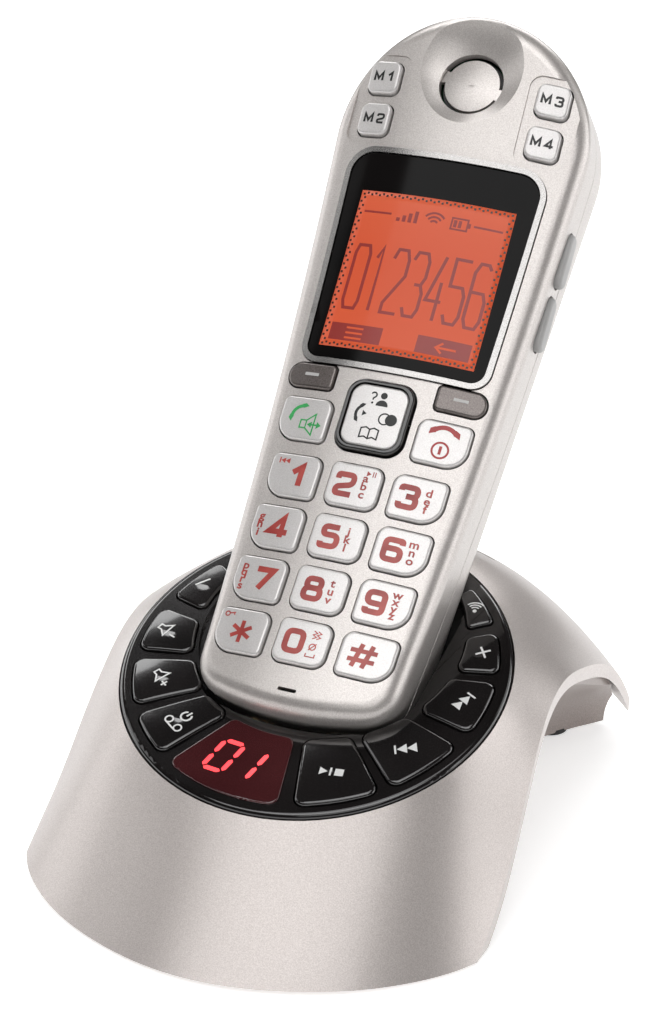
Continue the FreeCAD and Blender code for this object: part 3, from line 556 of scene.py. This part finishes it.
def key_centre(name):
    """Where a digit key's middle is on the handset's face."""
    for row, names in enumerate(KEY_ROWS):
        if name in names:
            return (names.index(name) - 1) * KEY_PITCH_U, FIRST_ROW_V + row * KEY_PITCH_V
    raise ValueError(name)


def print_on_key(key, suffix, shapes, ink, lift=KEY_PROUD + PRINT_LIFT):
    """Prints marks on one of the handset's keys, and they ride on it."""
    inlay(key + suffix, shapes, handset_at, lift, PRINT_DEPTH, ink, key)


def make_digit_legends():
    """The numerals and their letters, then the star, the hash and the small marks of keys 1, 2 and 0."""
    for key, (numeral, shift, letters, column) in DIGIT_LEGENDS.items():
        u, v = key_centre(key)
        shapes = broad_numeral(numeral, u + shift, v, NUMERAL_WIDTH, NUMERAL_HEIGHT, NUMERAL_PEN)
        print_on_key(key, "_numeral", shapes, LEGEND_RED)
        if letters:
            leading = LETTER_LEADING if len(letters) < 4 else TIGHT_LEADING
            lettering(key + "_letters", "\n".join(letters), (u + column, v), leading,
                      KEY_PROUD + PRINT_LIFT, LEGEND_RED, key)
    make_star_legend()
    make_hash_legend()
    make_small_marks()


def make_star_legend():
    u, v = key_centre("key_star")
    spoke = stroke([(0, -STAR_REACH), (0, STAR_REACH)], 1.0)
    marks = []
    for turn in (0.0, 60.0, -60.0):
        marks += moved([spoke], u + 0.2, v - 0.2, turn=turn)
    lock = [loop(0, 0, 0.55, 0.3, 16), stroke([(0.5, 0), (2.0, 0)], 0.3),
            stroke([(1.7, 0), (1.7, -0.6)], 0.3)]
    marks += moved(lock, u - 4.6, v + 3.7, turn=15.0)
    print_on_key("key_star", "_mark", marks, LEGEND_RED)


def make_hash_legend():
    u, v = key_centre("key_hash")
    hatch = [stroke([(-1.9, -2.9), (-0.6, 2.9)], 1.15), stroke([(0.6, -2.9), (1.9, 2.9)], 1.15),
             stroke([(-3.1, 1.15), (3.3, 1.15)], 1.1), stroke([(-3.3, -1.15), (3.1, -1.15)], 1.1)]
    print_on_key("key_hash", "_mark", moved(hatch, u - 0.8, v), LEGEND_RED)


def make_small_marks():
    """Back on key 1, play and pause on key 2, and a wave, a crossed ring and a space on key 0."""
    u, v = key_centre("key_1")
    back = [[(0, 0), (1.2, 0.7), (1.2, -0.7)], [(1.2, 0), (2.4, 0.7), (2.4, -0.7)], bar(-0.2, 0, 0.32, 1.4)]
    print_on_key("key_1", "_mark", moved(back, u - 4.2, v + 3.5), LEGEND_RED)
    u, v = key_centre("key_2")
    play = [[(-1.0, 0.75), (-1.0, -0.75), (0.2, 0)], bar(0.75, 0, 0.28, 1.5), bar(1.35, 0, 0.28, 1.5)]
    print_on_key("key_2", "_mark", moved(play, u + 3.4, v + 3.6, scale=0.9), LEGEND_RED)
    u, v = key_centre("key_0")
    wave = [(-0.7, 3.8), (0.2, 3.3), (-0.7, 2.8), (0.2, 2.3), (-0.7, 1.8)]
    marks = [stroke(wave, 0.28), stroke([(x + 1.0, y) for x, y in wave], 0.28)]
    marks += [loop(0.0, -0.2, 0.75, 0.3, 16), stroke([(-0.8, -1.1), (0.8, 0.7)], 0.3)]
    marks.append(stroke([(-1.1, -1.9), (-1.1, -2.7), (1.1, -2.7), (1.1, -1.9)], 0.3))
    print_on_key("key_0", "_marks", moved(marks, u + 2.9, v - 0.4), LEGEND_RED)


def receiver(width):
    """A telephone receiver lying across, with its ends down."""
    half = width / 2
    arch = arc(0, -0.80 * half, half * 0.98, 140, 40, 12)
    corners = [(1.02, -0.42), (0.55, -0.22), (0.66, 0.16), (0.98, -0.02)]
    ends = [[(side * x * half, y * half) for x, y in corners] for side in (-1, 1)]
    return [stroke(arch, 0.30 * half), *ends]


def make_call_legends():
    """A receiver and a loudspeaker on the call key, a receiver and a power mark on the end key."""
    u, v = CALL_KEY
    call = moved(receiver(5.6), -2.3, 1.9, turn=48.0)
    cone = [(-0.6, -0.4), (0.9, -0.4), (2.9, 1.4), (2.9, -4.0), (0.9, -2.4), (-0.6, -2.4)]
    speaker = [stroke(cone, 0.36, closed=True), stroke([(0.9, -0.4), (0.9, -2.4)], 0.3)]
    sound = [stroke([(1.6, -1.4), (4.6, -1.4)], 0.42)]
    heads = [[(3.7, -0.5), (4.9, -1.4), (3.7, -2.3)], [(2.4, -0.6), (1.2, -1.4), (2.4, -2.2)]]
    print_on_key("key_call", "_mark", moved(call + speaker + sound + heads, -u, v), LEGEND_GREEN)
    end = moved(receiver(7.4), 0.2, 3.4)
    power = [loop(0.2, -1.7, 1.95, 0.5), stroke([(0.2, -2.75), (0.2, -0.65)], 0.7)]
    print_on_key("key_end", "_mark", moved(end + power, u, v), LEGEND_CRIMSON)


NAV_PRINT = 1.33                     # the marks' height above the handset's face
NAV_SCALE = 0.92


def make_nav_legends():
    """A caller above, a receiver on the left, two rings on the right and an open book below."""
    question = stroke(arc(-1.3, 5.8, 0.7, 165, -50, 9) + [(-1.3, 4.9), (-1.3, 4.4)], 0.42)
    up = [disc(1.4, 5.9, 0.9), arc(1.4, 3.0, 1.65, 0, 180), disc(-1.3, 3.6, 0.32, 12), question]
    book = [(-2.2, -3.6), (-0.9, -3.2), (0.2, -3.7), (1.3, -3.2), (2.6, -3.6),
            (2.6, -6.2), (1.3, -5.8), (0.2, -6.3), (-0.9, -5.8), (-2.2, -6.2)]
    down = [stroke(book, 0.4, closed=True), stroke([(0.2, -3.7), (0.2, -6.3)], 0.4)]
    left = moved(receiver(5.2), -4.3, 0.6, turn=78.0) + [[(-3.1, -0.4), (-3.1, 1.2), (-1.9, 0.4)]]
    right = [loop(3.2, -0.3, 1.5, 0.38), disc(5.0, -0.3, 1.6)]
    marks = moved(up + down + left + right, -0.3, NAV_V, scale=NAV_SCALE)
    print_on_key("nav_key", "_marks", marks, LEGEND_BLACK, lift=NAV_PRINT)


SOFT_PRINT = 0.73                    # the dashes' height above the handset's face
MEMORY_PLACES = {1: (-1, 1), 2: (-1, 0), 3: (1, 1), 4: (1, 0)}   # side, row
MEMORY_LETTER = (-1.5, 2.0, 0.62)    # shift, width and pen of the M
MEMORY_NUMERAL = (1.75, 1.6, 0.55)   # and of the numeral after it
MEMORY_HEIGHT = 2.1


def make_soft_and_memory_legends():
    """A dash on each soft key, and M1 to M4 on the memory keys."""
    for side, key in ((-1, "soft_key_left"), (1, "soft_key_right")):
        dash = [bar(side * SOFT_KEY[0], SOFT_KEY[1] + 0.3, 3.6, 0.75)]
        print_on_key(key, "_dash", dash, LEGEND_GREY, lift=SOFT_PRINT)
    for number, (side, row) in MEMORY_PLACES.items():
        u, v = side * MEMORY_KEY_U, MEMORY_KEY_V[row]
        shapes = []
        for character, (shift, width, pen) in (("M", MEMORY_LETTER), (str(number), MEMORY_NUMERAL)):
            shapes += broad_numeral(character, u + shift, v, width, MEMORY_HEIGHT, pen)
        print_on_key("memory_key_%d" % number, "_numeral", shapes, LEGEND_BLACK)


# ---- what the handset's display shows ----
# Tall numerals on a 2 by 4 grid, drawn as pen lines with cut corners.
TALL_NUMERALS = {
    "0": [[(1, 0), (1.7, 0), (2, 0.5), (2, 3.5), (1.7, 4), (0.3, 4), (0, 3.5), (0, 0.5), (0.3, 0), (1.05, 0)]],
    "1": [[(0.4, 3.3), (1, 4), (1, 0)]],
    "2": [[(0, 3.4), (0.4, 4), (1.6, 4), (2, 3.4), (2, 2.4), (0, 0.6), (0, 0), (2, 0)]],
    "3": [[(0, 3.5), (0.4, 4), (1.6, 4), (2, 3.5), (2, 2.5), (1.6, 2), (0.8, 2)],
          [(1.6, 2), (2, 1.5), (2, 0.5), (1.6, 0), (0.4, 0), (0, 0.5)]],
    "4": [[(1.4, 4), (0, 1.2), (2, 1.2)], [(1.5, 2.4), (1.5, 0)]],
    "5": [[(2, 4), (0, 4), (0, 2.3), (1.6, 2.3), (2, 1.8), (2, 0.5), (1.6, 0), (0.4, 0), (0, 0.5)]],
    "6": [[(1.9, 3.7), (1.5, 4), (0.5, 4), (0, 3.4), (0, 0.5), (0.4, 0), (1.6, 0), (2, 0.5),
           (2, 1.7), (1.6, 2.2), (0.1, 2.2)]],
}
PANEL_DEPTH = 0.25
PIXEL_DEPTH = 0.06
DOT = 0.52                           # the black dots of the zigzag border
DOT_PITCH = 1.02
DOT_INSET = 0.75
DOT_ZIGZAG = 0.35
TALL_PEN = 0.78
TALL_SCALE = (1.95, 4.1)
TALL_START = (-17.0, 100.9)
TALL_PITCH = 5.15


def border_dots():
    """Two staggered rows of dots just inside the panel's edge."""
    low, high = SCREEN_V[0] + DOT_INSET, SCREEN_V[1] - DOT_INSET
    side = SCREEN_U - DOT_INSET
    across = int(2 * side / DOT_PITCH)
    upward = int((high - low) / DOT_PITCH)
    dots = []
    for i in range(across + 1):
        u = -side + 2 * side * i / across
        shift = DOT_ZIGZAG / 2 if i % 2 else -DOT_ZIGZAG / 2
        dots += [bar(u, low + shift, DOT, DOT), bar(u, high + shift, DOT, DOT)]
    for j in range(1, upward):
        v = low + (high - low) * j / upward
        shift = DOT_ZIGZAG if j % 2 else -DOT_ZIGZAG
        dots += [bar(-side + shift, v, DOT, DOT), bar(side + shift, v, DOT, DOT)]
    return dots


def tall_numerals(text):
    """The dialled number in tall thin figures."""
    marks = []
    for i, numeral in enumerate(text):
        left = TALL_START[0] + i * TALL_PITCH
        for path in TALL_NUMERALS[numeral]:
            points = [(left + x * TALL_SCALE[0], TALL_START[1] + y * TALL_SCALE[1]) for x, y in path]
            marks.append(stroke(points, TALL_PEN))
    return marks


def status_icons():
    """Signal bars, radio waves and a battery between two rules."""
    marks = [bar(-14.2, 126.0, 7.2, 0.5), bar(14.2, 126.0, 7.2, 0.5)]
    for i, tall in enumerate((0.9, 1.6, 2.3, 3.0)):
        marks.append(bar(-8.6 + 1.5 * i, 124.4 + tall / 2, 0.9, tall))
    marks += [stroke(arc(0.6, 124.6, radius, 40, 140, 8), 0.5) for radius in (1.1, 2.1, 3.1)]
    case = [(5.0, 124.5), (9.0, 124.5), (9.0, 127.3), (5.0, 127.3)]
    marks += [stroke(case, 0.42, closed=True), bar(9.5, 125.9, 0.6, 1.2)]
    return marks + [bar(5.9, 125.9, 0.8, 1.8), bar(7.1, 125.9, 0.8, 1.8)]


def make_screen():
    """The backlit panel, its border, its characters and its two labels, each a little above the last."""
    body, slot = "handset", "orange_display"
    lift = LENS_PROUD + 0.04
    patch("screen_panel", handset_at, (-SCREEN_U, SCREEN_U), SCREEN_V, lift, PANEL_DEPTH,
          SCREEN, body)
    lift += 0.03
    inlay("screen_dots", border_dots(), handset_at, lift, PIXEL_DEPTH, PIXEL_BLACK, body)
    characters = tall_numerals("0123456") + status_icons()
    inlay("screen_characters", characters, handset_at, lift, PIXEL_DEPTH, PIXEL, body)
    blocks = [bar(-11.2, 94.7, 13.4, 4.4), bar(11.2, 94.7, 13.4, 4.4)]
    inlay("screen_soft_labels", blocks, handset_at, lift, PIXEL_DEPTH, PIXEL, body)
    lift += 0.03
    menu = [bar(-11.6, 95.9 - 1.3 * k, 4.4, 0.5) for k in range(3)]
    arrow = [stroke([(14.4, 94.6), (9.8, 94.6)], 0.55),
             stroke([(11.0, 95.9), (9.4, 94.6), (11.0, 93.3)], 0.55)]
    inlay("screen_label_marks", menu + arrow, handset_at, lift, 0.05, SCREEN, body)


# ---- marks on the base's ring of keys ----
def polar(bearing, radius):
    """A point of the ring by its bearing, in degrees (0 = right side, -90 = front), and its radius."""
    return radius * math.cos(math.radians(bearing)), radius * math.sin(math.radians(bearing))


def loudspeaker_mark(plus):
    """A small loudspeaker outline with a plus or a minus beside it."""
    cone = [(-2.6, -0.7), (-1.5, -0.7), (0.1, -2.0), (0.1, 2.0), (-1.5, 0.7), (-2.6, 0.7)]
    marks = [stroke(cone, 0.38, closed=True), bar(2.0, -0.8, 1.7, 0.42)]
    if plus:
        marks.append(bar(2.0, -0.8, 0.42, 1.7))
    return marks


PLAY_STOP = [[(-2.9, -1.1), (-2.9, 1.1), (-1.0, 0)], bar(-0.3, 0, 0.45, 2.3), bar(1.7, 0, 2.0, 2.0)]
BACK = [bar(-2.6, 0, 0.45, 2.6),
        [(-2.2, 0), (0.1, 1.4), (0.1, -1.4)], [(0.1, 0), (2.4, 1.4), (2.4, -1.4)]]
FORWARD = [bar(2.6, 0, 0.45, 2.6),
           [(2.2, 0), (-0.1, 1.4), (-0.1, -1.4)], [(-0.1, 0), (-2.4, 1.4), (-2.4, -1.4)]]
CROSS = [stroke([(-1.3, -1.3), (1.3, 1.3)], 0.5), stroke([(-1.3, 1.3), (1.3, -1.3)], 0.5)]
WAVES = [disc(0, -1.1, 0.5, 14)]
WAVES += [stroke(arc(0, -1.1, radius, 45, 135, 8), 0.38) for radius in (1.2, 1.95, 2.7)]
POWER_AND_TAPE = [stroke(arc(0.4, 1.5, 1.3, 125, 415, 18), 0.45), stroke([(0.4, 1.6), (0.4, 3.2)], 0.45),
                  loop(-1.5, -2.0, 0.95, 0.4), loop(2.1, -2.0, 0.95, 0.4), bar(0.3, -2.95, 3.6, 0.4)]
DASH = [stroke([(-1.4, -1.4), (1.4, 1.4)], 0.45)]
RING_MARKS = {                       # key: bearing, radius, turn, marks
    "key_play_stop": (-62.0, 34.5, 8.0, PLAY_STOP),
    "key_rewind": (-32.5, 35.6, 25.0, BACK),
    "key_forward": (-3.0, 37.6, 62.0, FORWARD),
    "key_delete": (20.8, 39.4, 80.0, CROSS),
    "key_page": (42.0, 40.7, 10.0, WAVES),
    "key_answer": (-133.5, 34.6, -35.0, POWER_AND_TAPE),
    "key_volume_up": (-157.0, 36.0, -35.0, loudspeaker_mark(True)),
    "key_volume_down": (-180.5, 38.0, -20.0, loudspeaker_mark(False)),
    "key_greeting": (-206.0, 40.4, 0.0, DASH),
}


def make_ring_marks():
    """The white marks, bent to each key's slight dome."""
    for key, (bearing, radius, turn, marks) in RING_MARKS.items():
        a, b = polar(bearing, radius)

        def on_dome(x, y, lift, a=a, b=b):
            return ring_at(x, y, lift - ((x - a) ** 2 + (y - b) ** 2) / (2 * RING_KEY_DOME))

        inlay(key + "_mark", moved(marks, a, b, turn=turn), on_dome, RING_KEY_TOP + 0.04, 0.12,
              LEGEND_WHITE, key)


def seven_segment(lit_bars, x, y, width, height, pen, slant):
    """One numeral of bars, a to f clockwise from the top and g in the middle."""
    gap = pen * 0.28
    half_w, half_h = width / 2, height / 2
    ends = {
        "a": ((-half_w, half_h), (half_w, half_h)),
        "b": ((half_w, half_h), (half_w, 0)),
        "c": ((half_w, 0), (half_w, -half_h)),
        "d": ((-half_w, -half_h), (half_w, -half_h)),
        "e": ((-half_w, 0), (-half_w, -half_h)),
        "f": ((-half_w, half_h), (-half_w, 0)),
        "g": ((-half_w, 0), (half_w, 0)),
    }
    shapes = []
    for key in lit_bars:
        (x0, y0), (x1, y1) = ends[key]
        length = math.hypot(x1 - x0, y1 - y0)
        ux, uy = (x1 - x0) / length, (y1 - y0) / length
        inner = gap + pen / 2
        outline = [(gap, 0), (inner, pen / 2), (length - inner, pen / 2),
                   (length - gap, 0), (length - inner, -pen / 2), (inner, -pen / 2)]
        points = [(x0 + ux * p - uy * q, y0 + uy * p + ux * q) for p, q in outline]
        shapes.append([(x + px + slant * py, y + py) for px, py in points])
    return shapes


LED_SIZE = (5.0, 9.0)
LED_PEN = 1.15
LED_SLANT = 0.16


def make_base_display():
    """The message counter, showing 01."""
    zero = seven_segment("abcdef", -4.6, 0, *LED_SIZE, LED_PEN, LED_SLANT)
    one = seven_segment("bc", 1.6, 0, *LED_SIZE, LED_PEN, LED_SLANT)
    a, b = polar(-100.0, 33.4)
    digits = moved(zero + one, a + 0.6, b, turn=-6.0)
    inlay("base_display_digits", digits, ring_at, WINDOW_TOP + PRINT_LIFT, 0.08, RED_DIGIT,
          "base")


# ---- the studio ----
LIGHT_DISTANCE = 1.3                 # metres, from a point inside the object
LIGHT_TARGET = Vector((0.0, 0.0, 0.09))
SOFTBOXES = (                        # name, azimuth, elevation, width, height in metres, watts
    ("rear_right", 115, 11, 1.5, 0.50, 5.6),
    ("rear_left", 258, 11, 1.2, 0.50, 3.4),
    ("front", 22, 34, 0.8, 0.50, 1.6),
    ("right_high", 132, 34, 0.6, 0.50, 1.0),
    ("left", 285, 34, 0.55, 0.50, 1.0),
    ("overhead", 5, 60, 1.5, 0.55, 6.6),
    ("gloss", 229, 47, 0.55, 0.50, 3.4),
    ("rear_top", 190, 30, 0.9, 0.60, 5.0),
    ("top", 0, 80, 0.8, 0.70, 3.4),
)
FLOOR_SIZE = 3.0
FLOOR_HEIGHT = -0.0002


def from_bearing(azimuth, elevation):
    """The direction of something seen from the object: azimuth 0 is in front of it, 90 on its right."""
    return Vector((math.sin(azimuth) * math.cos(elevation),
                   -math.cos(azimuth) * math.cos(elevation), math.sin(elevation)))


def stage_piece(name, size, height):
    """A flat square that isn't part of the object."""
    build = bmesh.new()
    bmesh.ops.create_grid(build, x_segments=8, y_segments=8, size=size)
    mesh = bpy.data.meshes.new(name)
    build.to_mesh(mesh)
    build.free()
    piece = bpy.data.objects.new(name, mesh)
    piece.location.z = height
    bpy.context.scene.collection.objects.link(piece)
    return piece


def softbox(name, azimuth, elevation, width, height, watts):
    """A rectangular light facing the object."""
    towards = from_bearing(math.radians(azimuth), math.radians(elevation))
    data = bpy.data.lights.new(name, "AREA")
    data.shape = "RECTANGLE"
    data.size, data.size_y = width, height
    data.energy = watts
    lamp = bpy.data.objects.new(name, data)
    lamp.location = LIGHT_TARGET + LIGHT_DISTANCE * towards
    lamp.rotation_euler = (-towards).to_track_quat("-Z", "Y").to_euler()
    bpy.context.scene.collection.objects.link(lamp)


def floor_material():
    """Pale paper that glows a little, so that shadows on it stay light."""
    material, nodes, links, shader = new_material("floor_white")
    drift = noise(nodes, links, 3.0)
    shade = ramp(nodes, links, drift.outputs["Fac"], ((0.3, (0.86, 0.86, 0.86)), (0.7, (0.88, 0.88, 0.88))))
    links.new(shade.outputs["Color"], shader.inputs["Base Color"])
    shader.inputs["Roughness"].default_value = 0.9
    shader.inputs["Specular IOR Level"].default_value = 0.1
    shader.inputs["Emission Color"].default_value = (1.0, 1.0, 1.0, 1.0)
    shader.inputs["Emission Strength"].default_value = 0.54
    return material


def make_studio():
    """The floor, a faint white world and the softboxes."""
    floor = stage_piece("studio_floor", FLOOR_SIZE, FLOOR_HEIGHT)
    floor.data.materials.append(floor_material())
    world = bpy.data.worlds.new("studio_world")
    world.use_nodes = True
    background = world.node_tree.nodes["Background"]
    background.inputs["Color"].default_value = (1.0, 1.0, 1.0, 1.0)
    background.inputs["Strength"].default_value = 0.02
    bpy.context.scene.world = world
    for box in SOFTBOXES:
        softbox(*box)
    bpy.context.scene.view_settings.view_transform = "Standard"


CAMERA_AZIMUTH = math.radians(20.99)
CAMERA_ELEVATION = math.radians(23.14)
CAMERA_ROLL = math.radians(2.57)
CAMERA_DISTANCE = 726.9
CAMERA_SHIFT = (3.16, 75.45)         # sideways and upwards in the camera's own axes
CAMERA_LENS = 105.5
CAMERA_SENSOR = 36.0


def make_camera():
    """The viewpoint: to the right of the front, looking a little down, and rolled."""
    back = from_bearing(CAMERA_AZIMUTH, CAMERA_ELEVATION)
    forward = -back
    level = forward.cross(Vector((0, 0, 1))).normalized()
    upright = level.cross(forward)
    right = math.cos(CAMERA_ROLL) * level + math.sin(CAMERA_ROLL) * upright
    up = math.cos(CAMERA_ROLL) * upright - math.sin(CAMERA_ROLL) * level
    place = back * CAMERA_DISTANCE + right * CAMERA_SHIFT[0] + up * CAMERA_SHIFT[1]
    place = (place + Vector((0, BASE_Y, 0))) * MM
    data = bpy.data.cameras.new("camera")
    data.sensor_width = CAMERA_SENSOR
    data.lens = CAMERA_LENS
    data.clip_start = 0.01
    camera = bpy.data.objects.new("camera", data)
    camera.matrix_world = Matrix((
        (right.x, up.x, back.x, place.x), (right.y, up.y, back.y, place.y),
        (right.z, up.z, back.z, place.z), (0, 0, 0, 1)))
    bpy.context.scene.collection.objects.link(camera)
    bpy.context.scene.camera = camera


make_camera()
make_studio()
dress_frame()
make_digit_legends()
make_call_legends()
make_nav_legends()
make_soft_and_memory_legends()
make_screen()
make_ring_marks()
make_base_display()
